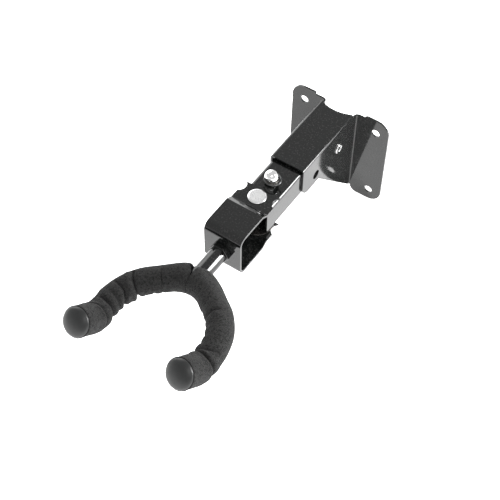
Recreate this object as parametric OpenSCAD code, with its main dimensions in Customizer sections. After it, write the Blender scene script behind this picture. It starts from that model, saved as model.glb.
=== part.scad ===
// Swing-arm wall hanger with a padded yoke.
// Origin: centre of the four screw holes on the wall face. +Z up, the arm reaches along -Y.
// All sizes are in millimetres.

/* [Wall bracket] */
// Screw hole spacing across
screw_pitch_x = 75; // [66:1:100]
// Screw hole spacing up and down
screw_pitch_z = 76; // [66:1:100]
// Diameter of the screw holes
screw_hole_d = 8; // [5:0.5:10]
// Sheet thickness of the bracket
bracket_sheet = 1.8; // [1.4:0.1:2.6]
// From a screw hole to the outer edge of its ear
ear_side_margin = 12.8; // [10:0.2:18]
// From the lower screw holes to the bottom of the ear
ear_bottom_margin = 12; // [9:0.5:18]
// Radius of the outer corners of the ears
ear_corner_r = 13; // [4:0.5:14]
// Top of the ears below the web
ear_top_drop = 2.5; // [0:0.1:4]
// Inside radius of the bends between sides and ears
bend_r = 1.2; // [0.8:0.1:3]
// Lowest point of a side below the lower screw holes
toe_drop = 5.4; // [3:0.2:8]
// Height of the relief above each ear bend
relief_h = 6; // [3:0.5:10]
// Sleeve length, wall to its front edge
sleeve_len = 89.5; // [78:0.5:120]
// From the wall to the rear corners of the sleeve's web
web_back = 8.5; // [6:0.5:12]
// Depth of the curved scoop in the web's rear edge
scoop_depth = 4.4; // [2:0.2:8]
// How far the sides reach below the tube
side_drop = 2.6; // [1:0.2:6]
// Radius of the sides' lower front corners
side_nose_r = 11; // [4:0.5:14]
// From the wall to where a side's lower edge starts to slope
slope_start = 62.5; // [50:0.5:72]

/* [Arm tube] */
// Tube width
tube_w = 30; // [24:0.5:40]
// Tube height
tube_h = 28; // [24:0.5:40]
// Tube wall
tube_wall = 2; // [1.2:0.1:3]
// Outside corner radius of the tube
tube_corner_r = 3; // [2.2:0.1:5]
// From the wall to the front end of the tube
tube_front = 142; // [126:1:190]
// From the wall to the rear end of the tube
tube_back = 14; // [8:1:20]
// Gap between the tube and each side of the sleeve
side_gap = 0.1; // [0.05:0.05:0.5]
// Gap between the tube and the sleeve's web
web_gap = 1.7; // [0.1:0.1:2.5]

/* [Sleeve holes and rivet] */
// Diameter of the side holes
side_hole_d = 9; // [6:0.5:11]
// From the wall to the rear side holes
side_hole_back = 30.2; // [24:0.2:36]
// From the rear side holes to the front ones
side_hole_pitch = 37.5; // [30:0.5:45]
// Side holes below the middle of the tube
side_hole_drop = 6.4; // [2:0.2:7]
// Bore of the tubular rivet
side_rivet_bore = 5.4; // [3:0.2:5.6]
// Radius of the rivet's rolled rim section
side_rim_r = 1.2; // [0.8:0.1:1.8]

/* [Swing joint] */
// From the front end of the tube back to the pivot
pivot_setback = 6.8; // [6:0.2:12]
// Diameter of the pivot rivet's shank
pivot_d = 10; // [6:0.5:12]
// Diameter of the pivot rivet's head
pivot_head_d = 16.2; // [14:0.2:20]
// Height of the pivot rivet's head
pivot_head_h = 1.5; // [1:0.1:3]
// Outer diameter of the spacer inside the tube
bushing_d = 14; // [13:0.5:18]
// Outer diameter of the thrust washers
thrust_d = 30; // [22:0.5:32]
// Thickness of the thrust washers
thrust_t = 1.6; // [0.8:0.1:2.5]
// Outer diameter of the washer under the peened end
rivet_washer_d = 18; // [16:0.5:22]
// Thickness of the washer under the peened end
rivet_washer_t = 1.2; // [0.8:0.1:2]

/* [Lock] */
// Angle between neighbouring notches
notch_step = 40; // [36:1:44]
// From the pivot to the lock pin and the middle of each notch
notch_pitch_r = 21.4; // [21:0.1:26]
// Radius of a notch
notch_r = 7.2; // [6.9:0.1:7.6]
// Radius of the lobes at the cusps between notches
lobe_r = 19.1; // [18:0.1:19.2]
// Diameter of the ball knob
knob_d = 12; // [10:0.5:14]
// Diameter of the lock collar
collar_d = 13.2; // [11:0.2:13.4]
// Height of the lock collar
collar_h = 2.2; // [1.8:0.1:3]
// Diameter of the lock pin
pin_d = 4; // [3:0.1:4.2]
// Outer diameter of the washer on the lock pin
pin_washer_d = 9; // [7:0.5:11]
// Thickness of that washer
pin_washer_t = 1; // [0.6:0.1:1.2]
// Wire diameter of the cotter pin
cotter_wire_d = 1.2; // [0.8:0.1:1.4]
// Wire diameter of the pull ring
ring_wire_d = 1.1; // [0.8:0.1:1.4]
// Length of the pull ring's straight arms
ring_arm = 3.4; // [3:0.2:8]
// Direction of the pull ring, clockwise from +X seen from above
ring_azimuth = 33; // [0:1:90]

/* [Clevis] */
// Width of the strap
clevis_w = 36; // [32:0.5:44]
// Sheet thickness of the strap
clevis_sheet = 2.2; // [1.6:0.1:3]
// Overall height at the front
clevis_h = 44; // [40:0.5:56]
// From the pivot to the front face
clevis_reach = 51; // [46:0.5:70]
// Outside radius of the front bends
front_bend_r = 7.5; // [4:0.5:12]
// From the pivot to the start of the jog
jog_start = 11.5; // [11:0.2:16]
// Length of the jog
jog_len = 6.5; // [4:0.2:12]

/* [Yoke shaft] */
// Diameter of the shaft
shaft_d = 15.4; // [12:0.2:15.8]
// Diameter of the shaft's threaded end
thread_d = 10; // [7:0.5:10]
// From the clevis to the middle of the yoke rod
shaft_reach = 39; // [32:0.5:60]
// Across the flats of the nuts
nut_af = 17; // [15:0.5:19]
// Thickness of the front nut
nut_h = 5; // [3:0.5:8]
// Thickness of the lock nut
lock_nut_h = 8; // [5:0.5:10]
// Outer diameter of the inner washer
shaft_washer_d = 21; // [16:0.5:24]
// Thickness of the inner washer
shaft_washer_t = 1.6; // [1:0.1:2.5]

/* [Padded yoke] */
// Turn of the yoke about its shaft as drawn
yoke_roll = -9; // [-30:1:30]
// Downward tilt of the yoke
yoke_tilt = 5; // [0:1:12]
// Bend radius at the middle of the yoke
base_bend_r = 37.5; // [30:0.5:60]
// Angle of half of the middle bend
base_bend_a = 35; // [20:1:45]
// Straight stretch between the bends
shoulder_len = 14.5; // [6:0.5:40]
// Bend radius of the shoulders
shoulder_r = 44; // [30:1:60]
// Angle of the shoulder bends
shoulder_a = 57; // [45:1:65]
// Straight stretch of a prong
prong_len = 2; // [1:0.5:40]
// Radius of the upward bend of a tip
tip_bend_r = 26; // [18:0.5:40]
// Angle of the upward bend of a tip
tip_bend_a = 43; // [10:1:60]
// Straight stretch of a tip
tip_len = 17; // [17:0.5:40]
// Diameter of the rod inside the foam
rod_d = 10; // [8:0.5:12]
// Outer diameter of the foam sleeves
foam_d = 22.8; // [20:0.2:28]
// Outer diameter of the sleeves where the end caps spread them
foam_tip_d = 26; // [22:0.2:30]
// Diameter of the end caps
cap_d = 26.4; // [22:0.2:30]
// Gap between the two sleeves, at the middle of the yoke
foam_gap = 0.4; // [0.2:0.1:1]
// Thickness of an end cap's rim
cap_rim_h = 2; // [1:0.1:4]
// Height of an end cap's dome
cap_dome_h = 4.4; // [2:0.2:8]
// Depth of an end cap's socket
cap_socket_len = 12; // [6:0.5:14]
// Wall of an end cap's socket
cap_socket_wall = 1.8; // [1:0.1:2.5]

/* [Hidden] */
$fn = 96;
// Radial clearance of a turning or sliding fit
run_clear = 0.08;
// Radial clearance of a fixed fit
fix_clear = 0.03;
// Gap along the axis on each side of a turning face
play = 0.15;
// Overlap of a cutting tool past the face that it cuts
cut = 1;

tube_z = screw_pitch_z / 2;
tube_top = tube_z + tube_h / 2;
tube_bottom = tube_z - tube_h / 2;

sleeve_w = tube_w + 2 * (side_gap + bracket_sheet);
web_top = tube_top + web_gap + bracket_sheet;
side_bottom = tube_bottom - side_drop;
ear_bottom = -screw_pitch_z / 2 - ear_bottom_margin;
ear_in = sleeve_w / 2 + bend_r;
ear_out = screw_pitch_x / 2 + ear_side_margin;
ear_top = web_top - ear_top_drop;
toe_z = -screw_pitch_z / 2 - toe_drop;
relief_z = web_top - relief_h;
side_back = bracket_sheet + bend_r;
web_corner_r = bracket_sheet + 0.5;
side_hole_z = tube_z - side_hole_drop;

pivot_y = -(tube_front - pivot_setback);
knob_y = pivot_y + notch_pitch_r;
lobe_half_in = tube_h / 2 + thrust_t + 2 * play;
lobe_half_out = lobe_half_in + clevis_sheet;
clevis_half = clevis_h / 2;
lobe_top = tube_z + lobe_half_out;
lobe_bottom = tube_z - lobe_half_out;
notch_angles = [for (i = [-2:2]) i * notch_step];

collar_z = lobe_top + 0.4;
ball_base_z = collar_z + collar_h;
ball_z = ball_base_z + 0.45 * knob_d / 2;
pin_washer_z = tube_bottom - 2 * play - pin_washer_t;
cotter_z = pin_washer_z - play - cotter_wire_d;
pin_end_z = cotter_z - 2 * cotter_wire_d;
ring_half = knob_d / 2 + ring_wire_d / 2 + 0.45;
ring_stub = 1.6;

clevis_front_y = pivot_y - clevis_reach;
clevis_inner_y = clevis_front_y + clevis_sheet;
nut_front_y = clevis_front_y - play - nut_h;
washer_y = clevis_inner_y + play;
lock_nut_y = washer_y + shaft_washer_t;
thread_end_y = lock_nut_y + lock_nut_h + 1.5;
yoke_y = clevis_front_y - shaft_reach;
weld_r = shaft_d / 2 + 1.2;
weld_len = rod_d / 2 + 4;
socket_r = rod_d / 2 + cap_socket_wall;
gap_a = foam_gap / base_bend_r * 180 / PI;

paint = [0.06, 0.06, 0.065];
zinc = [0.80, 0.82, 0.84];
foam_grey = [0.23, 0.23, 0.24];
cap_black = [0.13, 0.13, 0.135];
dark_steel = [0.28, 0.28, 0.30];

// ---- shared shapes ----

// A flat rectangle with round corners, centred
module rounded_rect(w, h, r) {
    square([w - 2 * r, h], center = true);
    square([w, h - 2 * r], center = true);
    for (x = [-1, 1], y = [-1, 1])
        translate([x * (w / 2 - r), y * (h / 2 - r)]) circle(r);
}

// The waste outside a round corner at the origin, the corner pointing to -X -Y
module corner_waste(r) {
    difference() {
        translate([-cut, -cut]) square(r + cut);
        translate([r, r]) circle(r);
    }
}

// A flat ring
module washer(d, bore, t) {
    difference() {
        cylinder(d = d, h = t);
        translate([0, 0, -cut]) cylinder(d = bore, h = t + 2 * cut);
    }
}

// A cylinder along +Y from y0 to y1
module along_y(d, y0, y1) {
    translate([0, y0, 0]) rotate([-90, 0, 0]) cylinder(d = d, h = y1 - y0);
}

// A flat shape drawn in X and Z, extruded along -Y from y0
module wall_extrude(y0, len) {
    translate([0, y0, 0]) rotate([90, 0, 0]) linear_extrude(len) children();
}

// A flat shape drawn in Y and Z, extruded along X across the middle
module side_extrude(w) {
    translate([-w / 2, 0, 0]) rotate([90, 0, 90]) linear_extrude(w) children();
}

module mirror_x() {
    children();
    mirror([1, 0, 0]) children();
}

// ---- wall bracket ----

module channel_section() {
    depth = web_top - toe_z;
    difference() {
        union() {
            translate([-sleeve_w / 2, toe_z]) square([sleeve_w, depth - web_corner_r]);
            translate([-sleeve_w / 2 + web_corner_r, toe_z])
                square([sleeve_w - 2 * web_corner_r, depth]);
            for (x = [-1, 1])
                translate([x * (sleeve_w / 2 - web_corner_r), web_top - web_corner_r])
                    circle(web_corner_r);
        }
        translate([-sleeve_w / 2 + bracket_sheet, toe_z - cut])
            square([sleeve_w - 2 * bracket_sheet, depth - bracket_sheet + cut]);
    }
}

module side_outline() {
    difference() {
        polygon([
            [-sleeve_len, web_top],
            [-web_back, web_top],
            [-side_back, relief_z],
            [-side_back, toe_z],
            [-slope_start, side_bottom],
            [-sleeve_len, side_bottom]
        ]);
        translate([-sleeve_len, side_bottom]) corner_waste(side_nose_r);
    }
}

module ear_outline() {
    inner_r = toe_z - ear_bottom;
    difference() {
        translate([ear_in, ear_bottom]) square([ear_out - ear_in, ear_top - ear_bottom]);
        translate([ear_in, ear_bottom]) corner_waste(inner_r);
        translate([ear_out, ear_bottom]) mirror([1, 0]) corner_waste(ear_corner_r);
        translate([ear_out, ear_top]) rotate(180) corner_waste(ear_corner_r);
        translate([ear_in, ear_top]) mirror([0, 1]) corner_waste(bend_r);
    }
}

module ear_bend() {
    translate([ear_in, -side_back, toe_z])
        rotate(90) rotate_extrude(angle = 90)
            translate([bend_r, 0]) square([bracket_sheet, relief_z - toe_z]);
}

module wall_bracket() {
    scoop_r = (pow(sleeve_w / 2, 2) + pow(scoop_depth, 2)) / (2 * scoop_depth);
    color(paint) difference() {
        union() {
            intersection() {
                wall_extrude(0, sleeve_len) channel_section();
                side_extrude(sleeve_w + 2 * cut) side_outline();
            }
            mirror_x() ear_bend();
            mirror_x() wall_extrude(0, bracket_sheet) ear_outline();
        }
        translate([0, scoop_r - web_back - scoop_depth, web_top - 3 * bracket_sheet])
            cylinder(r = scoop_r, h = 4 * bracket_sheet, $fn = 180);
        for (x = [-1, 1], z = [-1, 1])
            translate([x * screw_pitch_x / 2, 0, z * screw_pitch_z / 2])
                along_y(screw_hole_d, -bracket_sheet - cut, cut);
        for (y = [side_hole_back, side_hole_back + side_hole_pitch])
            translate([-sleeve_w / 2 - cut, -y, side_hole_z])
                rotate([0, 90, 0]) cylinder(d = side_hole_d, h = sleeve_w + 2 * cut);
    }
}

// ---- arm tube and what holds it ----

module arm_tube() {
    inner_w = tube_w - 2 * tube_wall;
    inner_h = tube_h - 2 * tube_wall;
    color(paint) difference() {
        translate([0, 0, tube_z]) wall_extrude(-tube_back, tube_front - tube_back)
            rounded_rect(tube_w, tube_h, tube_corner_r);
        translate([0, 0, tube_z]) wall_extrude(-tube_back + cut, tube_front - tube_back + 2 * cut)
            rounded_rect(inner_w, inner_h, tube_corner_r - tube_wall);
        translate([0, pivot_y, tube_bottom - cut])
            cylinder(r = pivot_d / 2 + run_clear, h = tube_h + 2 * cut);
        translate([0, knob_y, tube_bottom - cut])
            cylinder(r = pin_d / 2 + run_clear, h = tube_h + 2 * cut);
        translate([-tube_w / 2 - cut, -side_hole_back, side_hole_z])
            rotate([0, 90, 0]) cylinder(d = side_hole_d, h = tube_w + 2 * cut);
    }
}

module sleeve_rivet() {
    shank_r = side_hole_d / 2 - fix_clear;
    half = sleeve_w / 2 + fix_clear;
    rim_at = side_rivet_bore / 2 + side_rim_r;
    color(dark_steel) translate([0, -side_hole_back, side_hole_z]) rotate([0, 90, 0]) {
        rotate_extrude() {
            translate([side_rivet_bore / 2, -half])
                square([shank_r - side_rivet_bore / 2, 2 * half]);
            for (z = [-1, 1])
                translate([rim_at, z * half]) intersection() {
                    circle(side_rim_r);
                    translate([-side_rim_r, z > 0 ? 0 : -side_rim_r])
                        square([2 * side_rim_r, side_rim_r]);
                }
        }
    }
}

module pivot_bushing() {
    color(dark_steel) translate([0, pivot_y, tube_bottom + tube_wall])
        washer(bushing_d, pivot_d + 2 * run_clear, tube_h - 2 * tube_wall);
}

module thrust_washer() {
    bore = pivot_d + 2 * run_clear;
    color(zinc) difference() {
        washer(thrust_d, bore, thrust_t);
        translate([0, notch_pitch_r, -cut])
            cylinder(r = notch_r, h = thrust_t + 2 * cut);
    }
}

module thrust_washer_top() {
    translate([0, pivot_y, tube_top]) thrust_washer();
}

module thrust_washer_bottom() {
    translate([0, pivot_y, tube_bottom - thrust_t]) thrust_washer();
}

// ---- clevis ----

// Outline of the strap seen from the side, about the pivot
module strap_side(half_front, half_lobe, front, r) {
    back = lobe_r + cut;
    ramp_end = jog_start + jog_len;
    difference() {
        polygon([
            [back, half_lobe],
            [-jog_start, half_lobe],
            [-ramp_end, half_front],
            [-front, half_front],
            [-front, -half_front],
            [-ramp_end, -half_front],
            [-jog_start, -half_lobe],
            [back, -half_lobe]
        ]);
        translate([-front, -half_front]) corner_waste(r);
        translate([-front, half_front]) mirror([0, 1]) corner_waste(r);
    }
}

module lobe_plan() {
    difference() {
        union() {
            circle(lobe_r);
            translate([-clevis_w / 2, -clevis_reach]) square([clevis_w, clevis_reach]);
        }
        for (a = notch_angles)
            rotate(a) translate([0, notch_pitch_r]) circle(notch_r);
        for (x = [-1, 1])
            translate([x * (clevis_w / 2 + lobe_r), 0])
                square([2 * lobe_r, 3 * lobe_r], center = true);
    }
}

module clevis() {
    inner_front = clevis_reach - clevis_sheet;
    color(paint) translate([0, pivot_y, tube_z]) difference() {
        intersection() {
            side_extrude(clevis_w) difference() {
                strap_side(clevis_half, lobe_half_out, clevis_reach, front_bend_r);
                strap_side(clevis_half - clevis_sheet, lobe_half_in, inner_front,
                    front_bend_r - clevis_sheet);
            }
            translate([0, 0, -clevis_half]) linear_extrude(clevis_h) lobe_plan();
        }
        translate([0, 0, -clevis_half]) cylinder(r = pivot_d / 2 + fix_clear, h = clevis_h);
        along_y(thread_d + 2 * run_clear, -clevis_reach - cut, -inner_front + cut);
    }
}

module pivot_rivet() {
    tail_z = lobe_bottom - rivet_washer_t;
    color(zinc) translate([0, pivot_y, 0]) {
        translate([0, 0, tail_z]) cylinder(d = pivot_d, h = lobe_top - tail_z);
        translate([0, 0, lobe_top]) {
            cylinder(d = pivot_head_d, h = 0.6 * pivot_head_h);
            translate([0, 0, 0.6 * pivot_head_h])
                cylinder(d1 = pivot_head_d, d2 = 0.84 * pivot_head_d, h = 0.4 * pivot_head_h);
        }
        translate([0, 0, tail_z - pivot_head_h])
            cylinder(d1 = 1.1 * pivot_d, d2 = 1.4 * pivot_d, h = pivot_head_h);
    }
}

module rivet_washer() {
    color(zinc) translate([0, pivot_y, lobe_bottom - rivet_washer_t])
        washer(rivet_washer_d, pivot_d + 2 * fix_clear, rivet_washer_t);
}

// ---- lock ----

module lock_knob() {
    color(zinc) translate([0, knob_y, 0]) difference() {
        intersection() {
            translate([0, 0, ball_z]) sphere(d = knob_d);
            translate([-knob_d, -knob_d, ball_base_z]) cube([2 * knob_d, 2 * knob_d, 2 * knob_d]);
        }
        translate([0, 0, ball_z]) rotate(-ring_azimuth) for (side = [-1, 1])
            translate([0, side * (knob_d / 2 - ring_stub), 0]) rotate([-90 * side, 0, 0])
                cylinder(d = ring_wire_d + 2 * run_clear, h = ring_stub + cut);
    }
}

module lock_collar() {
    color(dark_steel) translate([0, knob_y, collar_z])
        washer(collar_d, pin_d + 2 * fix_clear, collar_h);
}

module lock_pin() {
    color(dark_steel) translate([0, knob_y, 0]) difference() {
        union() {
            translate([0, 0, pin_end_z + pin_d / 4])
                cylinder(d = pin_d, h = ball_base_z - pin_end_z - pin_d / 4);
            translate([0, 0, pin_end_z]) cylinder(d1 = pin_d / 2, d2 = pin_d, h = pin_d / 4);
        }
        translate([-pin_d, 0, cotter_z]) rotate([0, 90, 0])
            cylinder(d = cotter_wire_d + 2 * fix_clear, h = 2 * pin_d);
    }
}

module pin_washer() {
    color(zinc) translate([0, knob_y, pin_washer_z])
        washer(pin_washer_d, pin_d + 2 * fix_clear, pin_washer_t);
}

// A straight stem across the pin and a round eye beside it
module cotter_pin() {
    eye_r = cotter_wire_d;
    stem = pin_d / 2 + 1.5;
    color(zinc) translate([0, knob_y, cotter_z]) {
        translate([-stem, 0, 0]) rotate([0, 90, 0])
            cylinder(d = cotter_wire_d, h = 2 * stem);
        translate([stem + eye_r + cotter_wire_d / 4, 0, 0])
            rotate_extrude() translate([eye_r, 0]) circle(d = cotter_wire_d);
    }
}

// A wire bail hinged in two side holes of the ball
module pull_ring() {
    color(zinc) translate([0, knob_y, ball_z]) rotate(-ring_azimuth) {
        for (side = [-1, 1]) {
            translate([0, side * ring_half, 0]) {
                rotate([90 * side, 0, 0])
                    cylinder(d = ring_wire_d, h = ring_half - knob_d / 2 + ring_stub - 2 * play);
                sphere(d = ring_wire_d);
                rotate([0, 90, 0]) cylinder(d = ring_wire_d, h = ring_arm);
            }
        }
        translate([ring_arm, 0, 0]) rotate(-90) rotate_extrude(angle = 180)
            translate([ring_half, 0]) circle(d = ring_wire_d);
    }
}

// ---- yoke shaft ----

module yoke_shaft() {
    color(paint) translate([0, 0, tube_z]) difference() {
        union() {
            along_y(shaft_d, yoke_y, nut_front_y);
            along_y(thread_d, nut_front_y - cut, thread_end_y);
        }
        translate([0, yoke_y, 0]) yoke_frame() middle_bend(rod_d / 2 + fix_clear);
    }
}

module hex_nut(h) {
    difference() {
        cylinder(d = nut_af / cos(30), h = h, $fn = 6);
        translate([0, 0, -cut]) cylinder(r = thread_d / 2 + fix_clear, h = h + 2 * cut);
    }
}

module shaft_nut() {
    color(paint) translate([0, nut_front_y + nut_h, tube_z]) rotate([90, 0, 0]) hex_nut(nut_h);
}

module shaft_washer() {
    color(zinc) translate([0, washer_y + shaft_washer_t, tube_z]) rotate([90, 0, 0])
        washer(shaft_washer_d, thread_d + 2 * fix_clear, shaft_washer_t);
}

module shaft_lock_nut() {
    color(zinc) translate([0, lock_nut_y + lock_nut_h, tube_z]) rotate([90, 0, 0])
        hex_nut(lock_nut_h);
}

// ---- padded yoke ----
// The yoke's own frame: origin at the middle of the rod, +X along the rod, -Y away from the wall.

module yoke_frame() {
    rotate([0, yoke_roll, 0]) rotate([yoke_tilt, 0, 0]) children();
}

module place_yoke() {
    translate([0, yoke_y, tube_z]) yoke_frame() children();
}

// Each station on the rod's line is [place, direction to the side, direction up].
function flat_heading(a) = [cos(a), -sin(a), 0];
function flat_side(a) = [sin(a), cos(a), 0];
function flat_station(p, a) = [p, flat_side(a), [0, 0, 1]];

base_end = base_bend_r * [sin(base_bend_a), cos(base_bend_a) - 1, 0];
shoulder_start = base_end + shoulder_len * flat_heading(base_bend_a);
prong_a = base_bend_a + shoulder_a;
shoulder_end = shoulder_start
    + shoulder_r * [sin(prong_a) - sin(base_bend_a), cos(prong_a) - cos(base_bend_a), 0];
prong_end = shoulder_end + prong_len * flat_heading(prong_a);
tip_start = prong_end + tip_bend_r * (sin(tip_bend_a) * flat_heading(prong_a)
    + [0, 0, 1 - cos(tip_bend_a)]);
tip_heading = cos(tip_bend_a) * flat_heading(prong_a) + [0, 0, sin(tip_bend_a)];

function base_station(a) = flat_station(base_bend_r * [sin(a), cos(a) - 1, 0], a);
function shoulder_station(a) = flat_station(shoulder_start
    + shoulder_r * [sin(a) - sin(base_bend_a), cos(a) - cos(base_bend_a), 0], a);
function rising_station(a) = [
    prong_end + tip_bend_r * (sin(a) * flat_heading(prong_a) + [0, 0, 1 - cos(a)]),
    flat_side(prong_a),
    [0, 0, cos(a)] - sin(a) * flat_heading(prong_a)
];
function tip_station(len) =
    [tip_start + len * tip_heading, flat_side(prong_a), rising_station(tip_bend_a)[2]];

base_steps = 5;
shoulder_steps = 8;
tip_steps = 6;

// Stations of one half, from an angle on the middle bend to a distance before the tip
function half_line(from_a, back) = concat(
    [for (i = [0:base_steps]) base_station(from_a + i * (base_bend_a - from_a) / base_steps)],
    [for (i = [0:shoulder_steps]) shoulder_station(base_bend_a + i * shoulder_a / shoulder_steps)],
    [for (i = [0:tip_steps]) rising_station(i * tip_bend_a / tip_steps)],
    [tip_station(tip_len - back)]
);
function flipped(v) = [-v[0], v[1], v[2]];
function mirrored(line) = [for (i = [len(line) - 1:-1:0]) [for (v = line[i]) flipped(v)]];

rod_sides = 20;
foam_sides = 28;

function ring_points(st, r, sides) = [for (i = [0:sides - 1])
    st[0] + r * (cos(i * 360 / sides) * st[1] + sin(i * 360 / sides) * st[2])];

// A round bar swept along stations
module swept_bar(line, r, sides) {
    points = [for (st = line) each ring_points(st, r, sides)];
    last = (len(line) - 1) * sides;
    walls = [for (k = [0:len(line) - 2], i = [0:sides - 1])
        [k * sides + i, k * sides + (i + 1) % sides,
            (k + 1) * sides + (i + 1) % sides, (k + 1) * sides + i]];
    polyhedron(points, concat(walls,
        [[for (i = [sides - 1:-1:0]) i]], [[for (i = [0:sides - 1]) last + i]]), convexity = 6);
}

// A round tube swept along stations, its outer radius given for each
module swept_tube(line, radii, bore, sides) {
    points = [for (k = [0:len(line) - 1])
        each concat(ring_points(line[k], radii[k], sides), ring_points(line[k], bore, sides))];
    row = 2 * sides;
    last = (len(line) - 1) * row;
    outside = [for (k = [0:len(line) - 2], i = [0:sides - 1])
        [k * row + i, k * row + (i + 1) % sides,
            (k + 1) * row + (i + 1) % sides, (k + 1) * row + i]];
    inside = [for (k = [0:len(line) - 2], i = [0:sides - 1])
        [k * row + sides + (i + 1) % sides, k * row + sides + i,
            (k + 1) * row + sides + i, (k + 1) * row + sides + (i + 1) % sides]];
    first_end = [for (i = [0:sides - 1])
        [i, sides + i, sides + (i + 1) % sides, (i + 1) % sides]];
    last_end = [for (i = [0:sides - 1])
        [last + i, last + (i + 1) % sides,
            last + sides + (i + 1) % sides, last + sides + i]];
    polyhedron(points, concat(outside, inside, first_end, last_end), convexity = 8);
}

// Moves to the end of the rod, +X along it
module at_tip(back = 0) {
    translate(tip_start + (tip_len - back) * tip_heading)
        rotate([0, 0, -prong_a]) rotate([0, -tip_bend_a, 0]) children();
}

// The middle bend alone, as a true torus
module middle_bend(r) {
    translate([0, -base_bend_r, 0]) rotate(90 - base_bend_a)
        rotate_extrude(angle = 2 * base_bend_a) translate([base_bend_r, 0]) circle(r);
}

module yoke_rod() {
    right = half_line(0, 0);
    rest = [for (i = [1:len(right) - 1]) right[i]];
    color(paint) place_yoke() swept_bar(concat(mirrored(rest), right), rod_d / 2, rod_sides);
}

// Shaft and weld where they run into the foam
module shaft_clearance(extra) {
    translate([0, yoke_y, tube_z]) {
        along_y(shaft_d + 2 * extra, 0, foam_d);
        along_y(2 * (weld_r + extra), 0, weld_len + extra);
    }
}

module yoke_weld() {
    color(paint) difference() {
        translate([0, yoke_y, tube_z]) along_y(2 * weld_r, 0, weld_len);
        translate([0, yoke_y, tube_z]) along_y(shaft_d + 2 * fix_clear, -cut, weld_len + cut);
        place_yoke() middle_bend(rod_d / 2 + fix_clear);
    }
}

module socket_bore() {
    at_tip(cap_rim_h + cap_socket_len) rotate([0, 90, 0])
        cylinder(r = socket_r + run_clear, h = cap_socket_len + cut, $fn = foam_sides);
}

// Radius of a sleeve at each station: even, then spreading along the rising bend
sleeve_radii = concat([for (i = [0:base_steps + shoulder_steps + 1]) foam_d / 2],
    [for (i = [0:tip_steps]) (foam_d + (foam_tip_d - foam_d) * i / tip_steps) / 2],
    [foam_tip_d / 2]);

module foam_sleeve(line) {
    difference() {
        swept_tube(line, sleeve_radii, rod_d / 2 + 3 * run_clear, foam_sides);
        socket_bore();
    }
}

// The left sleeve's outer half is cut square beside the shaft
module foam_left() {
    notch_y = -(weld_r + play) * tan(yoke_tilt) - play;
    color(foam_grey) place_yoke() mirror([1, 0, 0]) difference() {
        foam_sleeve(half_line(gap_a, cap_rim_h + fix_clear));
        translate([-cut, notch_y, -foam_d])
            cube([cut + weld_r + run_clear, foam_d - notch_y, 2 * foam_d]);
    }
}

module foam_right() {
    color(foam_grey) difference() {
        place_yoke() foam_sleeve(half_line(0, cap_rim_h + fix_clear));
        shaft_clearance(run_clear);
    }
}

module end_cap() {
    rim_r = cap_d / 2;
    dome_r = (pow(rim_r, 2) + pow(cap_dome_h, 2)) / (2 * cap_dome_h);
    at_tip(cap_rim_h) rotate([0, 90, 0]) difference() {
        union() {
            cylinder(r = rim_r, h = cap_rim_h);
            intersection() {
                translate([0, 0, cap_rim_h + cap_dome_h - dome_r]) sphere(dome_r);
                cylinder(r = rim_r, h = cap_rim_h + 2 * cap_dome_h);
            }
            translate([0, 0, -cap_socket_len]) cylinder(r = socket_r, h = cap_socket_len);
        }
        translate([0, 0, -cap_socket_len - cut])
            cylinder(r = rod_d / 2 + fix_clear, h = cap_socket_len + cut + cap_rim_h + fix_clear);
    }
}

module end_cap_left() {
    color(cap_black) place_yoke() mirror([1, 0, 0]) end_cap();
}

module end_cap_right() {
    color(cap_black) place_yoke() end_cap();
}

wall_bracket();
arm_tube();
sleeve_rivet();
pivot_bushing();
thrust_washer_top();
thrust_washer_bottom();
clevis();
pivot_rivet();
rivet_washer();
lock_knob();
lock_collar();
lock_pin();
pin_washer();
cotter_pin();
pull_ring();
yoke_shaft();
shaft_nut();
shaft_washer();
shaft_lock_nut();
yoke_rod();
yoke_weld();
foam_left();
foam_right();
end_cap_left();
end_cap_right();
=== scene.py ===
"""Swing-arm wall hanger with a padded yoke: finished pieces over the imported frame."""
import math

import bmesh
import bpy
from bpy.props import FloatProperty, FloatVectorProperty, PointerProperty
from mathutils import Matrix, Vector, noise


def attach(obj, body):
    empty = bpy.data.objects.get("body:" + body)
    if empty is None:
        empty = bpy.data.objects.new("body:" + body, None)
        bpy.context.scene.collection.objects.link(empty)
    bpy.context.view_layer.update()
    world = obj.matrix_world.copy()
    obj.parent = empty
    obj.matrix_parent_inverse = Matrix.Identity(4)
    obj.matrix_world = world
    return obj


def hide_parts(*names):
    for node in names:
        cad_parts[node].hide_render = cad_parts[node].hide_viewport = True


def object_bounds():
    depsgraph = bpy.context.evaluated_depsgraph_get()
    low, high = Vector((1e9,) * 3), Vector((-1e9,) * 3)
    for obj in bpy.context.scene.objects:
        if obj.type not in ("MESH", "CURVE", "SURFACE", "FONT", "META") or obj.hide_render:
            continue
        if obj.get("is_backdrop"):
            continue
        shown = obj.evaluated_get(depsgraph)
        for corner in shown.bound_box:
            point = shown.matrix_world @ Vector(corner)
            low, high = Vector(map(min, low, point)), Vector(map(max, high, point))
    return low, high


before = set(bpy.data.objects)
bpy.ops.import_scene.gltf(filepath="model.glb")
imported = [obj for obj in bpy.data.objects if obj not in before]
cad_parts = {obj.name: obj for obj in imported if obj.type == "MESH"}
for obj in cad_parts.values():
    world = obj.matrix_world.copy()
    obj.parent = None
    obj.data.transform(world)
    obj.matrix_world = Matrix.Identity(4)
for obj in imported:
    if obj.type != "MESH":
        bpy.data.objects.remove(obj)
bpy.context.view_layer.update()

bl_info = {
    "name": "Padded wall hanger",
    "version": (1, 0, 0),
    "blender": (4, 5, 0),
    "location": "3D View > Sidebar > Hanger",
    "description": "Builds the finished pieces of a swing-arm wall hanger on its packed frame",
    "category": "Object",
}

MM = 0.001


# ---- shader maths ----


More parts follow.
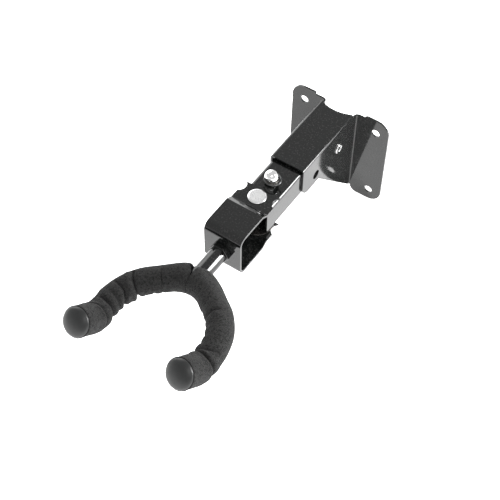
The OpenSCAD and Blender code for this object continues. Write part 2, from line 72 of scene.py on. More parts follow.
class Value:
    """A node socket that takes part in Python expressions; each operator adds a Math node."""

    def __init__(self, graph, socket):
        self.graph, self.socket = graph, socket

    def math(self, operation, *values):
        return self.graph.node("ShaderNodeMath", {"operation": operation}, dict(enumerate(values)))

    def __add__(self, other):
        return self.math("ADD", self, other)

    def __sub__(self, other):
        return self.math("SUBTRACT", self, other)

    def __rsub__(self, other):
        return self.math("SUBTRACT", other, self)

    def __mul__(self, other):
        return self.math("MULTIPLY", self, other)

    def __truediv__(self, other):
        return self.math("DIVIDE", self, other)

    __radd__ = __add__
    __rmul__ = __mul__

    def above(self, level, width):
        """0 below the level, 1 above level + width, straight in between."""
        rise = (self - level) / width
        rise.socket.node.use_clamp = True
        return rise


class Finish:
    """One procedural material, built node by node on object coordinates."""

    def __init__(self, name, tree=None):
        if tree is None:
            self.material = bpy.data.materials.new(name)
            self.material.use_nodes = True
            tree = self.material.node_tree
        self.tree = tree
        self.tree.nodes.clear()

    def node(self, kind, settings=None, inputs=None, out=0):
        made = self.tree.nodes.new(kind)
        for key, value in (settings or {}).items():
            setattr(made, key, value)
        for key, value in (inputs or {}).items():
            if isinstance(value, Value):
                self.tree.links.new(value.socket, made.inputs[key])
            else:
                made.inputs[key].default_value = value
        return Value(self, made.outputs[out])

    def place(self, stretch=(1, 1, 1), turn=(0, 0, 0)):
        """Object coordinates, stretched and turned."""
        point = self.node("ShaderNodeTexCoord", out="Object")
        return self.node("ShaderNodeMapping", {}, {"Vector": point, "Scale": stretch, "Rotation": turn})

    def noise(self, scale, detail=3.0, place=None, roughness=0.55):
        return self.node("ShaderNodeTexNoise", {}, {
            "Vector": place or self.place(), "Scale": scale, "Detail": detail, "Roughness": roughness})

    def mix(self, share, first, second):
        """Colours mixed by a share from 0 to 1."""
        return self.node("ShaderNodeMix", {"data_type": "RGBA"},
                         {0: share, 6: first, 7: second}, out=2)

    def bump(self, height, distance, strength=1.0, normal=None):
        inputs = {"Height": height, "Distance": distance, "Strength": strength}
        if normal:
            inputs["Normal"] = normal
        return self.node("ShaderNodeBump", {}, inputs)

    def surface(self, **inputs):
        shader = self.node("ShaderNodeBsdfPrincipled", {}, {
            key.replace("_", " "): value for key, value in inputs.items()}, out="BSDF")
        self.close(shader, "ShaderNodeOutputMaterial")
        return self.material

    def close(self, shader, kind):
        """Joins a shader to a new output node."""
        end = self.tree.nodes.new(kind)
        self.tree.links.new(shader.socket, end.inputs["Surface"])


def rgb(grey, warm=0.0):
    """A near-grey colour, warmer above 0."""
    return (grey * (1 + warm), grey, grey * (1 - warm), 1.0)


def gloss_paint(name, settings):
    """Black gloss paint: orange peel, faint rubs and dust, edges a little dulled."""
    made = Finish(name)
    broad = made.noise(45, 2)
    peel = made.noise(380, 1.0, roughness=0.3)
    dust = made.noise(2300, 2).above(0.69, 0.05)
    rubs = made.noise(90, 4, made.place((9, 1, 1), (0, 0, 0.5))).above(0.62, 0.1)
    scratches = made.noise(260, 5, made.place((14, 0.6, 6), (0, 0, -0.62)), 0.7).above(0.665, 0.02)
    edge = made.node("ShaderNodeAttribute", {"attribute_name": "edge"}, out="Fac")
    worn = edge * made.noise(700, 3).above(0.55, 0.12)
    marks = dust * 0.08 + rubs * 0.06 + scratches * broad * 0.35 + worn * 0.3
    dark = tuple(settings.paint_colour) + (1.0,)
    colour = made.mix(marks, dark, rgb(0.07, 0.03))
    return made.surface(
        Base_Color=colour,
        Roughness=settings.paint_roughness + 0.04 * broad + 0.12 * marks,
        IOR=1.5,
        Normal=made.bump(peel, 0.000004, 0.5),
    )


def plated_steel(name, grey, roughness, warm=0.0, clouds=0.12, streaks=0.1):
    """Plated steel with soft clouds, fine turning marks and a few dull spots."""
    made = Finish(name)
    cloud = made.noise(230, 3)
    fine = made.noise(2400, 2, made.place((1, 6, 1)))
    spots = made.noise(900, 2).above(0.64, 0.08)
    bright = made.mix(cloud, rgb(grey * (1 - clouds), warm), rgb(min(1, grey * (1 + clouds)), -warm))
    colour = made.mix(spots * 0.5, bright, rgb(grey * 0.55, 0.05))
    return made.surface(
        Base_Color=colour,
        Metallic=1.0 - spots * 0.3,
        Roughness=roughness + streaks * fine * 0.6 + spots * 0.18,
        Normal=made.bump(fine, 0.000006, 0.4),
    )


def dark_oxide(name, rim):
    """Blackened steel, worn brighter on its rims."""
    made = Finish(name)
    cloud = made.noise(400, 3)
    edge = made.node("ShaderNodeAttribute", {"attribute_name": "edge"}, out="Fac")
    rub = edge * made.noise(900, 2).above(0.35, 0.2)
    return made.surface(
        Base_Color=made.mix(rub * 0.8 + cloud * 0.1, rgb(0.03, 0.04), rgb(rim, 0.05)),
        Metallic=0.85 + 0.1 * rub,
        Roughness=0.3 + 0.12 * cloud - 0.1 * rub,
        Normal=made.bump(cloud, 0.00001, 0.4),
    )


def cell_foam(name, settings):
    """Charcoal cell foam: pinholes, a fine mottled skin and lint, paler where it is rubbed; painted shade
    darkens its pinholes, its folds and the butt of the two sleeves.
    """
    made = Finish(name)
    cells = made.node("ShaderNodeTexVoronoi", {"feature": "F1"}, {
        "Vector": made.place(), "Scale": 900.0, "Randomness": 1.0}, out="Distance")
    pores_and_shade = 1 - cells.above(0.14, 0.3)
    skin = made.noise(560, 6, roughness=0.85)
    mottle = made.noise(120, 4)
    lint = made.noise(950, 2).above(0.66, 0.05)
    # Painted shade of the folds' creases and of the butt where the two sleeves meet, read from the mesh.
    fold = made.node("ShaderNodeAttribute", {"attribute_name": "fold"}, out="Fac")
    grain = skin.above(0.42, 0.16)
    dark = tuple(0.22 * part for part in settings.foam_colour) + (1.0,)
    pale = tuple(1.9 * part for part in settings.foam_colour) + (1.0,)
    base = made.mix(grain * 0.82 + mottle * 0.18, dark, pale)
    # The pinholes darkened: painted shade in the pores.
    base = made.mix(pores_and_shade * 0.55, base, rgb(0.006))
    base = made.mix(lint * 0.35, base, rgb(0.11, -0.02))
    # The folds and the butt darkened towards black: painted shade.
    colour = made.mix(fold * 0.7, base, rgb(0.004))
    relief = grain * 0.6 - pores_and_shade * 0.8 + mottle * 0.4
    return made.surface(
        Base_Color=colour,
        Roughness=0.9 + 0.08 * grain,
        Sheen_Weight=0.08,
        Sheen_Roughness=0.5,
        Specular_IOR_Level=0.16,
        Normal=made.bump(relief, 0.0005, 0.9),
    )


def cap_rubber(name, settings):
    """Moulded rubber: satin, with a faint mottle and dust, and painted shade on its flange."""
    made = Finish(name)
    mottle = made.noise(260, 4)
    fine = made.noise(2200, 3)
    dust = fine.above(0.62, 0.1)
    dark = tuple(settings.cap_colour) + (1.0,)
    rim = made.node("ShaderNodeAttribute", {"attribute_name": "edge"}, out="Fac")
    dusty = made.mix(dust * 0.25 + mottle * 0.2, dark, rgb(0.035, -0.03))
    return made.surface(
        # The flange darkened to near black: painted shade where the cap meets the foam.
        Base_Color=made.mix(rim, dusty, rgb(0.0015)),
        Roughness=0.34 + 0.12 * mottle + 0.1 * dust + 0.5 * rim,
        IOR=1.5,
        Normal=made.bump(mottle * 0.5 + fine * 0.5, 0.00004, 0.35),
    )


FINISHES = {}


def finish(key):
    """The hanger's finishes, each made once."""
    if key not in FINISHES:
        look = bpy.context.scene.hanger_finish
        FINISHES[key] = {
            "bracket_paint": lambda: gloss_paint("bracket_paint", look),
            "tube_paint": lambda: gloss_paint("tube_paint", look),
            "shaft_paint": lambda: gloss_paint("shaft_paint", look),
            "zinc": lambda: plated_steel("zinc_plate", 0.78, 0.24, -0.01),
            "knob_chrome": lambda: plated_steel("knob_chrome", 0.86, 0.07, 0.02, 0.05, 0.04),
            "dark_steel": lambda: dark_oxide("dark_steel", 0.12),
            "rivet_steel": lambda: plated_steel("rivet_steel", 0.42, 0.14, 0.02),
            "ring_wire": lambda: plated_steel("ring_wire", 0.09, 0.25, 0.05),
            "foam": lambda: cell_foam("sleeve_foam", look),
            "cap_rubber": lambda: cap_rubber("cap_rubber", look),
        }[key]()
    return FINISHES[key]


# ---- making pieces ----


def piece_from(bm, name, body, slot, replaces=(), flat_normals=True, look=None):
    """Turns a bmesh into a finished piece on its body."""
    mesh = bpy.data.meshes.new(name)
    for face in bm.faces:
        face.smooth = True
    bm.to_mesh(mesh)
    bm.free()
    made = bpy.data.objects.new(name, mesh)
    bpy.context.scene.collection.objects.link(made)
    mesh.materials.append(finish(look or slot))
    if flat_normals:
        weigh = made.modifiers.new("face weights", "WEIGHTED_NORMAL")
        weigh.keep_sharp = True
    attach(made, body)
    if replaces:
        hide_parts(*replaces)
    return made


def node_copy(*nodes):
    """A welded copy of CAD nodes, its flat faces joined up."""
    bm = bmesh.new()
    for node in nodes:
        bm.from_mesh(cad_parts[node].data)
    bmesh.ops.remove_doubles(bm, verts=bm.verts, dist=0.002 * MM)
    bmesh.ops.dissolve_limit(bm, angle_limit=math.radians(0.6), verts=bm.verts, edges=bm.edges,
                             delimit={"NORMAL"})
    return bm


def soften(bm, width, least=28.0, segments=2):
    """Rounds every edge sharper than an angle, and marks the new faces as edge."""
    sharp = [edge for edge in bm.edges
             if len(edge.link_faces) == 2 and edge.calc_face_angle(0) > math.radians(least)]
    done = bmesh.ops.bevel(bm, geom=sharp, affect="EDGES", offset=width, offset_type="OFFSET",
                           segments=segments, profile=0.5, material=-1, clamp_overlap=True)
    layer = bm.verts.layers.float.new("edge")
    for face in done["faces"]:
        for vert in face.verts:
            vert[layer] = 1.0


def carried(node, body, slot, width=0.3, least=28.0, segments=2, look=None):
    """A CAD node carried over with rounded edges and its own finish."""
    bm = node_copy(node)
    if width:
        soften(bm, width * MM, least, segments)
    return piece_from(bm, node + "_finished", body, slot, [node], look=look)


def turned(profile, steps=96):
    """A solid of revolution about Z from (radius, height) pairs in millimetres, axis to axis."""
    bm = bmesh.new()
    chain = [bm.verts.new((radius * MM, 0, height * MM)) for radius, height in profile]
    for first, second in zip(chain, chain[1:]):
        bm.edges.new((first, second))
    bmesh.ops.spin(bm, geom=bm.verts[:] + bm.edges[:], cent=(0, 0, 0), axis=(0, 0, 1),
                   angle=2 * math.pi, steps=steps, use_merge=True, use_duplicate=False)
    bmesh.ops.remove_doubles(bm, verts=bm.verts, dist=0.001 * MM)
    bmesh.ops.recalc_face_normals(bm, faces=bm.faces)
    return bm


# ---- the rod's line, in millimetres ----

YOKE_PLACE = Vector((0, -225.2, 38))
YOKE_TURN = (Matrix.Rotation(math.radians(-9), 4, "Y") @ Matrix.Rotation(math.radians(5), 4, "X"))
BASE_R, BASE_A = 37.5, math.radians(35)
SHOULDER_LEN, SHOULDER_R, SHOULDER_A = 14.5, 44.0, math.radians(57)
PRONG_LEN, TIP_R, TIP_A, TIP_LEN = 2.0, 26.0, math.radians(43), 17.0
SLEEVE_END = (BASE_R * BASE_A + SHOULDER_LEN + SHOULDER_R * SHOULDER_A + PRONG_LEN
              + TIP_R * TIP_A + TIP_LEN - 2.03)


def step_along(length):
    return Matrix.Translation((0, length, 0))


def step_round(radius, angle, axis):
    """A bend about an axis beside the line; the line heads along its own +Y."""
    side = {"Z": Vector((radius, 0, 0)), "X": Vector((0, 0, radius))}[axis]
    turn = Matrix.Rotation(-angle if axis == "Z" else angle, 4, axis)
    return Matrix.Translation(side) @ turn @ Matrix.Translation(-side)


def station(along):
    """Frame of the rod at a distance from the yoke's middle, on the +X half.

    Its +Y heads along the rod, its -X points to the outside of the bend and its +Z upwards."""
    frame_here = Matrix.Rotation(math.radians(-90), 4, "Z")
    for kind, radius, angle, length in (
            ("Z", BASE_R, BASE_A, BASE_R * BASE_A), ("", 0, 0, SHOULDER_LEN),
            ("Z", SHOULDER_R, SHOULDER_A, SHOULDER_R * SHOULDER_A), ("", 0, 0, PRONG_LEN),
            ("X", TIP_R, TIP_A, TIP_R * TIP_A), ("", 0, 0, TIP_LEN + 20)):
        run = min(along, length)
        if kind:
            frame_here = frame_here @ step_round(radius, angle * run / length, kind)
        else:
            frame_here = frame_here @ step_along(run)
        along -= run
        if along <= 0:
            break
    return frame_here


def on_yoke(points, left):
    """Points in the yoke's own frame, in millimetres, put in their place in metres."""
    for vert in points:
        point = vert.co.copy()
        if left:
            point.x = -point.x
        vert.co = (YOKE_TURN @ point + YOKE_PLACE) * MM


# ---- foam sleeves ----

# Each fold: its line as (angle round the sleeve, distance along it), its depth, its width and
# how far the foam bulges beside it before and after.
LEFT_FOLDS = (
    (((92, 25.9), (144, 26.4), (195, 28.6), (240, 28.6)), 1.0, 0.8, 0.1, 0.25),
    (((165, 35.0), (200, 35.6), (240, 36.0)), 0.9, 0.9, 0.2, 0.2),
    (((66, 48.6), (120, 50.9), (153, 51.4), (190, 51.6), (250, 52.0)), 3.0, 1.5, 0.3, 1.5),
    (((76, 63.4), (100, 62.9), (135, 62.2), (159, 64.9), (198, 67.9), (240, 68)), 2.0, 1.5, 0.8, 0.6),
    (((50, 79.6), (120, 81.9), (144, 82.4), (165, 83.4), (190, 84.9), (240, 85)), 2.2, 1.4, 0.5, 0.5),
    (((66, 103.0), (82, 99.0), (99, 95.4), (123, 93.9), (160, 93.9), (200, 95)), 1.2, 1.3, 0.2, 0.35),
    (((110, 72.0), (150, 73.4), (185, 75.5), (215, 76)), 0.7, 1.6, 0.2, 0.2),
)
RIGHT_FOLDS = (
    (((82, 44.5), (105, 43.5), (130, 44.5), (180, 45), (240, 45)), 1.0, 1.5, 0.3, 0.3),
    (((-20, 91.0), (30, 90.4), (63, 91.2), (87, 89.5), (120, 88.6), (170, 88), (220, 88)),
     2.6, 1.5, 0.6, 0.4),
    (((45, 78.5), (81, 82), (117, 85.0), (150, 85.4)), 1.0, 1.5, 0.25, 0.3),
    (((130, 33.0), (180, 33.4), (230, 33)), 0.5, 1.6, 0.2, 0.2),
    (((125, 55.5), (180, 56), (235, 56)), 0.7, 1.6, 0.3, 0.3),
    (((130, 66.0), (180, 66.4), (235, 66)), 0.6, 1.7, 0.3, 0.3),
    (((135, 76.0), (180, 76.4), (235, 76)), 0.7, 1.4, 0.3, 0.3),
)


# Room left for the shaft at a sleeve's skin and for the weld at its bore, as radii.
SHAFT_CLEAR, WELD_CLEAR = 7.9, 9.1
# The rod's bore in the foam, and the wider pocket that takes a cap's socket.
BORE_R, POCKET_R, POCKET_DEPTH = 5.3, 7.0, 13.0
# The cut round the shaft fades out over this length of sleeve.
START_FADE = 24.0
# Angles past this one count on from below zero, so fold lines can start under zero.
ANGLE_WRAP = 280.0
# Where the sleeve starts to spread over a cap's socket, and over what length.
SPREAD_START, SPREAD_RUN = 82.0, 17.0


def smooth_step(value):
    value = max(0.0, min(1.0, value))
    return value * value * (3 - 2 * value)


def fold_line(line, angle):
    """Distance along the sleeve of a fold at an angle, and how present the fold is there."""
    first, last = line[0], line[-1]
    if angle <= first[0]:
        return first[1], smooth_step(1 - (first[0] - angle) / 24)
    if angle >= last[0]:
        return last[1], smooth_step(1 - (angle - last[0]) / 24)
    for (a0, s0), (a1, s1) in zip(line, line[1:]):
        if angle <= a1:
            return s0 + (s1 - s0) * (angle - a0) / (a1 - a0), 1.0


def sleeve_swell(folds, along, angle):
    """Change of radius, in millimetres, and painted shade of the folds at a point."""
    swell, shade = 0.0, 0.0
    for line, depth, width, before, after in folds:
        centre, share = fold_line(line, angle)
        if share <= 0:
            continue
        away = (along - centre) / width
        if abs(away) > 9:
            continue
        swell -= share * depth * math.exp(-abs(away) ** 1.6)
        # Painted shade along the fold's crease.
        shade += share * min(1.0, depth) * math.exp(-(away * 1.7) ** 2)
        bulge = before if away < 0 else after
        swell += share * bulge * math.exp(-((abs(away) - 3.0) / 2.2) ** 2)
    return swell, min(1.0, shade)


def sleeve_start(left, radius, angle, clear):
    """Where a sleeve begins at an angle: butted at the middle, cut away round the shaft."""
    turn = math.radians(angle)
    outward, height = radius * math.cos(turn), radius * math.sin(turn)
    if left and clear > SHAFT_CLEAR:
        cut = smooth_step((math.cos(turn) + 0.12) / 0.16) * (clear + 0.2)
    elif left:
        cut = smooth_step(math.cos(turn) / 0.8) * (clear + 0.2)
    else:
        cut = 0.0
        if outward > 0 and abs(height) < clear:
            cut = math.sqrt(clear ** 2 - height ** 2) * smooth_step(outward / 2.0)
    return 0.4 * left + BASE_R * math.asin(cut / (BASE_R + outward))


def make_sleeve(left, look):
    """A foam sleeve drawn over the rod, with its folds pressed in."""
    outer, around = look.foam_diameter / MM / 2, 96
    folds = LEFT_FOLDS if left else RIGHT_FOLDS
    run = int(SLEEVE_END / look.foam_step * MM)
    rings = [(0.0, outer - 0.12), (0.22, outer)]
    rings += [(SLEEVE_END * i / run, outer) for i in range(1, run)]
    rings += [(SLEEVE_END, outer - 0.3), (SLEEVE_END, outer - 0.7)]
    outside = len(rings)
    rings += [(SLEEVE_END, POCKET_R)]
    pocket_end = SLEEVE_END - POCKET_DEPTH
    rings += [(pocket_end, POCKET_R), (pocket_end, BORE_R)]
    rings += [(pocket_end * (1 - i / 30), BORE_R) for i in range(1, 31)]
    rings += [(0.0, outer - 0.9)]
    bm = bmesh.new()
    layers = {key: bm.verts.layers.float.new(key) for key in ("angle", "fold")}
    bmesh.ops.create_circle(bm, cap_ends=False, radius=1.0, segments=around)
    for vert in bm.verts:
        vert[layers["angle"]] = math.degrees(math.atan2(vert.co.y, vert.co.x)) % 360
    loop = bm.edges[:]
    first_loop = loop
    last = len(rings) - 1
    for index, (along, radius) in enumerate(rings):
        verts = {vert for edge in loop for vert in edge.verts}
        inside = index >= outside
        for vert in verts:
            angle = vert[layers["angle"]]
            if angle > ANGLE_WRAP:
                angle -= 360
            clear = WELD_CLEAR if inside and index < last else SHAFT_CLEAR
            start = sleeve_start(left, radius, angle, clear)
            here = along
            if along < START_FADE:
                here = start + along * (START_FADE - start) / START_FADE
            swell, shade = (0.0, 0.0)
            if not inside or index == last:
                swell, shade = sleeve_swell(folds, here, angle)
                # The butt where the two sleeves meet gets full painted shade.
                if along == 0:
                    shade = 1.0
                ends = smooth_step((SLEEVE_END - here) / 5)
                corner = math.exp(-((here - start) / 9.0) ** 2)
                facing = math.cos(math.radians(angle - (40 if left else 10)))
                swell += look.corner_flare / MM * corner * max(0.0, facing)
                turn = math.radians(angle)
                probe = Vector((here * 0.045, math.cos(turn) * 1.3 + 7 * left, math.sin(turn) * 1.3))
                swell += 0.28 * noise.noise(probe * 1.7) + 0.1 * noise.noise(probe * 6.1)
                swell *= ends
                swell += look.tip_spread / MM * smooth_step((here - SPREAD_START) / SPREAD_RUN)
            turn = math.radians(angle)
            size = radius + swell
            local = Vector((-size * math.cos(turn), 0, size * math.sin(turn)))
            vert.co = station(here) @ local
            # The painted shade is kept on the mesh for the foam's colour.
            vert[layers["fold"]] = shade
        if index < len(rings) - 1:
            grown = bmesh.ops.extrude_edge_only(bm, edges=loop)
            loop = [item for item in grown["geom"] if isinstance(item, bmesh.types.BMEdge)
                    and len(item.link_faces) == 1]
    bmesh.ops.bridge_loops(bm, edges=loop + first_loop)
    on_yoke(bm.verts, left)
    bmesh.ops.remove_doubles(bm, verts=bm.verts, dist=0.0005 * MM)
    bmesh.ops.recalc_face_normals(bm, faces=bm.faces)
    side = "left" if left else "right"
    made = piece_from(bm, "sleeve_" + side, "yoke", "foam", ["foam_" + side], flat_normals=False)
    smooth = made.modifiers.new("finer foam", "SUBSURF")
    smooth.levels = smooth.render_levels = 1
    return made


def make_cap(left, look):
    """A rubber end cap: a thin flange darkened with painted shade and a round dome, on a socket inside the
    sleeve.
    """
    outer, dome = look.cap_diameter / MM / 2 - 0.05, look.cap_dome / MM
    profile = [(0, 2 + dome)]
    profile += [((outer - 0.6) * math.sin(math.radians(a)),
                 1.1 + (dome + 0.9) * math.cos(math.radians(a))) for a in range(6, 90, 6)]
    profile += [(outer - 0.6, 1.0), (outer - 0.6, 0.9), (outer - 0.12, 0.85), (outer, 0.72)]
    profile += [(outer, 0.3), (outer - 0.9, 0.05)]
    profile += [(6.8, 0.03), (6.8, -11.6), (6.5, -12), (5.1, -12), (5.1, -0.2), (0, -0.2)]
    bm = turned(profile)
    # The flange's band next to the foam is marked for painted shade.
    rim = bm.verts.layers.float.new("edge")
    for vert in bm.verts:
        if 0 < vert.co.z < 0.95 * MM and math.hypot(*vert.co.xy) > 9 * MM:
            vert[rim] = 1.0
    tip = station(SLEEVE_END + 0.03)
    stand = Matrix.Rotation(math.radians(-90), 4, "X")
    for vert in bm.verts:
        vert.co = tip @ stand @ (vert.co / MM)
    on_yoke(bm.verts, left)
    bmesh.ops.recalc_face_normals(bm, faces=bm.faces)
    side = "left" if left else "right"
    return piece_from(bm, "cap_" + side, "yoke", "cap_rubber", ["end_cap_" + side], flat_normals=False)


# ---- the settings a user would change ----


class HangerFinish(bpy.types.PropertyGroup):
    """Sizes and colours of the finished pieces."""

    paint_colour: FloatVectorProperty(
        name="Paint", description="Colour of the gloss paint", subtype="COLOR",
        default=(0.0042, 0.0048, 0.0046), min=0, max=1)
    paint_roughness: FloatProperty(
        name="Paint roughness", description="Roughness of clean paint", subtype="FACTOR",
        default=0.06, min=0.02, max=1)
    sheet_edge: FloatProperty(
        name="Sheet edge", description="Rounding of the sheet's cut edges", unit="LENGTH",
        default=0.3 * MM, min=0.05 * MM, max=0.8 * MM)
    foam_colour: FloatVectorProperty(
        name="Foam", description="Colour of the foam sleeves", subtype="COLOR",
        default=(0.020, 0.020, 0.0196), min=0, max=1)
    foam_diameter: FloatProperty(
        name="Foam diameter", description="Outer diameter of the sleeves", unit="LENGTH",
        default=22.8 * MM, min=20 * MM, max=30 * MM)
    foam_step: FloatProperty(
        name="Foam step", description="Spacing of the sleeve's rings", unit="LENGTH",
        default=0.9 * MM, min=0.5 * MM, max=3 * MM)
    tip_spread: FloatProperty(
        name="Tip spread", description="Growth of the sleeve's radius over an end cap's socket",
        unit="LENGTH", default=1.6 * MM, min=0, max=3 * MM)
    corner_flare: FloatProperty(
        name="Corner flare", description="How far the cut corner beside the shaft stands out",
        unit="LENGTH", default=2.1 * MM, min=0, max=3 * MM)
    cap_colour: FloatVectorProperty(
        name="Caps", description="Colour of the rubber caps", subtype="COLOR",
        default=(0.008, 0.0088, 0.0088), min=0, max=1)
    cap_diameter: FloatProperty(
        name="Cap diameter", description="Outer diameter of a cap's rim", unit="LENGTH",
        default=26.4 * MM, min=22 * MM, max=30 * MM)
    cap_dome: FloatProperty(
        name="Cap dome", description="Height of a cap's dome above its rim", unit="LENGTH",
        default=4.4 * MM, min=2 * MM, max=8 * MM)


class HangerStage(bpy.types.PropertyGroup):
    """Floor, lights and camera."""

    floor_gap: FloatProperty(
        name="Floor gap", description="Space between the lowest point and the floor",
        unit="LENGTH", default=0.5 * MM, min=0, max=0.2)
    floor_glow: FloatProperty(
        name="Floor glow", description="Brightness of the white floor", default=1.15, min=0, max=10)
    right_power: FloatProperty(
        name="Right softbox", description="Power of the bright softbox", unit="POWER",
        default=25.0, min=0)
    left_power: FloatProperty(
        name="Left softbox", description="Power of the broad soft fill", unit="POWER",
        default=8.0, min=0)
    front_power: FloatProperty(
        name="Front softbox", description="Power of the light beside the camera", unit="POWER",
        default=6.0, min=0)
    camera_azimuth: FloatProperty(
        name="Azimuth", description="Direction of the camera", subtype="ANGLE",
        default=math.radians(33.27))
    camera_elevation: FloatProperty(
        name="Elevation", description="Height of the camera above the horizon", subtype="ANGLE",
        default=math.radians(52.61))
    camera_roll: FloatProperty(
        name="Roll", description="Turn of the camera about its own line of sight", subtype="ANGLE",
        default=math.radians(1.14))
    camera_place: FloatVectorProperty(
        name="Camera", description="Place of the camera", subtype="TRANSLATION",
        default=(0.3461, -0.6718, 0.8186))
    lens: FloatProperty(name="Lens", description="Focal length of the camera in millimetres", default=86.1)


# ---- one operator for each piece or group of like pieces ----


class HANGER_OT_wall_bracket(bpy.types.Operator):
    """Pressed sheet bracket with its screw holes"""

    bl_idname = "hanger.wall_bracket"
    bl_label = "Wall bracket"

    def execute(self, context):
        carried("wall_bracket", "bracket", "bracket_paint", context.scene.hanger_finish.sheet_edge / MM)
        return {"FINISHED"}


class HANGER_OT_arm(bpy.types.Operator):
    """Arm tube with its rivet, spacer and thrust washers"""

    bl_idname = "hanger.arm"
    bl_label = "Arm tube"

    def execute(self, context):
        carried("arm_tube", "bracket", "tube_paint", 0.25)
        carried("sleeve_rivet", "bracket", "dark_steel", 0.12, look="rivet_steel")
        carried("pivot_bushing", "bracket", "dark_steel", 0.3)
        carried("thrust_washer_top", "bracket", "zinc", 0.2)
        # The bottom washer is zinc like the top one but takes the dark steel finish: painted shade.
        carried("thrust_washer_bottom", "bracket", "zinc", 0.2, look="dark_steel")
        return {"FINISHED"}


class HANGER_OT_clevis(bpy.types.Operator):
    """Swinging clevis with its pivot rivet"""

    bl_idname = "hanger.clevis"
    bl_label = "Clevis"

    def execute(self, context):
        carried("clevis", "swing_clevis", "bracket_paint", context.scene.hanger_finish.sheet_edge / MM)
        carried("pivot_rivet", "swing_clevis", "zinc", 0.25, 20)
        carried("rivet_washer", "swing_clevis", "zinc", 0.2)
        return {"FINISHED"}


class HANGER_OT_lock(bpy.types.Operator):
    """Spring-lock knob, its pin and its pull ring"""

    bl_idname = "hanger.lock"
    bl_label = "Lock"

    def execute(self, context):
        carried("lock_knob", "lock", "knob_chrome", 0.1)
        carried("lock_collar", "lock", "dark_steel", 0.35)
        carried("lock_pin", "lock", "dark_steel", 0.1)
        carried("pin_washer", "lock", "zinc", 0.15)
        carried("cotter_pin", "lock", "ring_wire", 0)
        carried("pull_ring", "pull_ring", "ring_wire", 0)
        return {"FINISHED"}


class HANGER_OT_shaft(bpy.types.Operator):
    """Yoke shaft with its nuts, the bent rod and the weld"""

    bl_idname = "hanger.shaft"
    bl_label = "Yoke shaft"

    def execute(self, context):
        carried("yoke_shaft", "yoke", "shaft_paint", 0.3)
        carried("shaft_nut", "yoke", "shaft_paint", 0.8, 20, 3)
        carried("shaft_washer", "yoke", "zinc", 0.2)
        carried("shaft_lock_nut", "yoke", "zinc", 0.8, 20, 3)
        carried("yoke_rod", "yoke", "shaft_paint", 0.4, 60)
        carried("yoke_weld", "yoke", "shaft_paint", 0.6, 60)
        return {"FINISHED"}


class HANGER_OT_sleeves(bpy.types.Operator):
    """Foam sleeves with the folds of their bends"""

    bl_idname = "hanger.sleeves"
    bl_label = "Foam sleeves"

    def execute(self, context):
        for left in (True, False):
            make_sleeve(left, context.scene.hanger_finish)
        return {"FINISHED"}


class HANGER_OT_caps(bpy.types.Operator):
    """Rubber end caps"""

    bl_idname = "hanger.caps"
    bl_label = "End caps"

    def execute(self, context):
        for left in (True, False):
            make_cap(left, context.scene.hanger_finish)
        return {"FINISHED"}


def soft_light(name, place, aim, size, power):
    lamp = bpy.data.lights.new(name, "AREA")
    lamp.shape, lamp.size, lamp.size_y, lamp.energy = "RECTANGLE", size[0], size[1], power
    made = bpy.data.objects.new(name, lamp)
    made.location = place
    made.rotation_euler = (Vector(aim) - Vector(place)).to_track_quat("-Z", "Y").to_euler()
    bpy.context.scene.collection.objects.link(made)


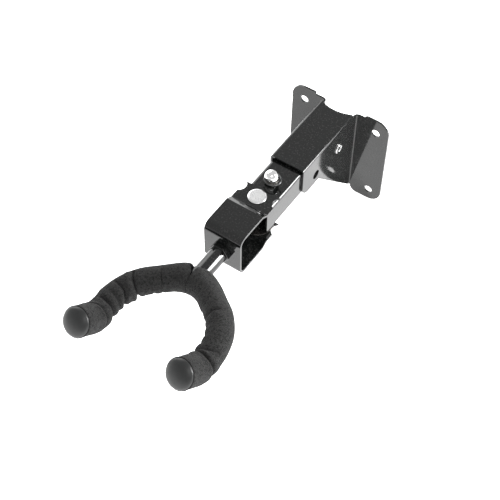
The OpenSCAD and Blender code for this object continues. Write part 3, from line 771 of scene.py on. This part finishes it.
class HANGER_OT_stage(bpy.types.Operator):
    """Pale floor, soft lights and the camera"""

    bl_idname = "hanger.stage"
    bl_label = "Stage"

    def execute(self, context):
        scene, look = context.scene, context.scene.hanger_stage
        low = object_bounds()[0]
        bm = bmesh.new()
        bmesh.ops.create_grid(bm, x_segments=8, y_segments=8, size=6.0)
        bmesh.ops.translate(bm, verts=bm.verts, vec=(0, -0.12, low.z - look.floor_gap))
        mesh = bpy.data.meshes.new("floor")
        bm.to_mesh(mesh)
        bm.free()
        floor = bpy.data.objects.new("floor", mesh)
        scene.collection.objects.link(floor)
        made = Finish("pale_floor")
        grain = made.noise(40, 3)
        mesh.materials.append(made.surface(
            Base_Color=made.mix(grain, rgb(0.84), rgb(0.88)), Roughness=0.8 + 0.1 * grain,
            Emission_Color=rgb(1.0), Emission_Strength=look.floor_glow))
        floor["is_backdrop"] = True

        centre = (0, -0.12, 0.04)
        soft_light("right_softbox", (0.985, 0.49, 0.47), centre, (0.3, 0.75), look.right_power)
        soft_light("left_softbox", (-1.0, 0.45, 0.62), centre, (1.1, 0.8), look.left_power)
        soft_light("front_softbox", (0.75, -0.95, 1.6), centre, (0.9, 0.6), look.front_power)

        world = bpy.data.worlds.new("studio")
        scene.world = world
        world.use_nodes = True
        sky = Finish("studio", world.node_tree)
        up = sky.node("ShaderNodeSeparateXYZ", {}, {
            "Vector": sky.node("ShaderNodeTexCoord", out="Generated")}, out="Z")
        brightness = sky.node("ShaderNodeMapRange", {}, {
            "Value": up, "From Min": 0.0, "From Max": 0.4, "To Min": 1.0, "To Max": 0.7})
        shade = sky.node("ShaderNodeBackground", {}, {"Color": rgb(1.0), "Strength": brightness})
        sky.close(shade, "ShaderNodeOutputWorld")

        camera = bpy.data.objects.new("camera", bpy.data.cameras.new("camera"))
        camera.data.lens, camera.data.sensor_width = look.lens, 36.0
        a, e, roll = look.camera_azimuth, look.camera_elevation, look.camera_roll
        back = Vector((math.sin(a) * math.cos(e), -math.cos(a) * math.cos(e), math.sin(e)))
        right = Vector((math.cos(a), math.sin(a), 0))
        level = Matrix((right, back.cross(right), back)).transposed()
        turned_level = level @ Matrix.Rotation(roll, 3, "Z")
        camera.matrix_world = Matrix.Translation(look.camera_place) @ turned_level.to_4x4()
        camera.data.clip_start = 0.01
        scene.collection.objects.link(camera)
        scene.camera = camera
        scene.view_settings.view_transform = "Standard"
        return {"FINISHED"}


OPERATORS = (HANGER_OT_wall_bracket, HANGER_OT_arm, HANGER_OT_clevis, HANGER_OT_lock,
             HANGER_OT_shaft, HANGER_OT_sleeves, HANGER_OT_caps, HANGER_OT_stage)


class HANGER_PT_panel(bpy.types.Panel):
    """Lists the pieces and their settings"""

    bl_idname = "HANGER_PT_panel"
    bl_label = "Wall hanger"
    bl_space_type = "VIEW_3D"
    bl_region_type = "UI"
    bl_category = "Hanger"

    def draw(self, context):
        column = self.layout.column()
        for operator in OPERATORS:
            column.operator(operator.bl_idname)
        for group in (context.scene.hanger_finish, context.scene.hanger_stage):
            box = self.layout.box()
            for key in group.bl_rna.properties.keys():
                if key not in ("rna_type", "name"):
                    box.prop(group, key)


CLASSES = (HangerFinish, HangerStage) + OPERATORS + (HANGER_PT_panel,)


def register():
    for cls in CLASSES:
        bpy.utils.register_class(cls)
    bpy.types.Scene.hanger_finish = PointerProperty(type=HangerFinish)
    bpy.types.Scene.hanger_stage = PointerProperty(type=HangerStage)


def unregister():
    del bpy.types.Scene.hanger_stage
    del bpy.types.Scene.hanger_finish
    for cls in reversed(CLASSES):
        bpy.utils.unregister_class(cls)


def main():
    register()
    for operator in OPERATORS:
        group, name = operator.bl_idname.split(".")
        getattr(getattr(bpy.ops, group), name)()


if __name__ == "__main__":
    main()
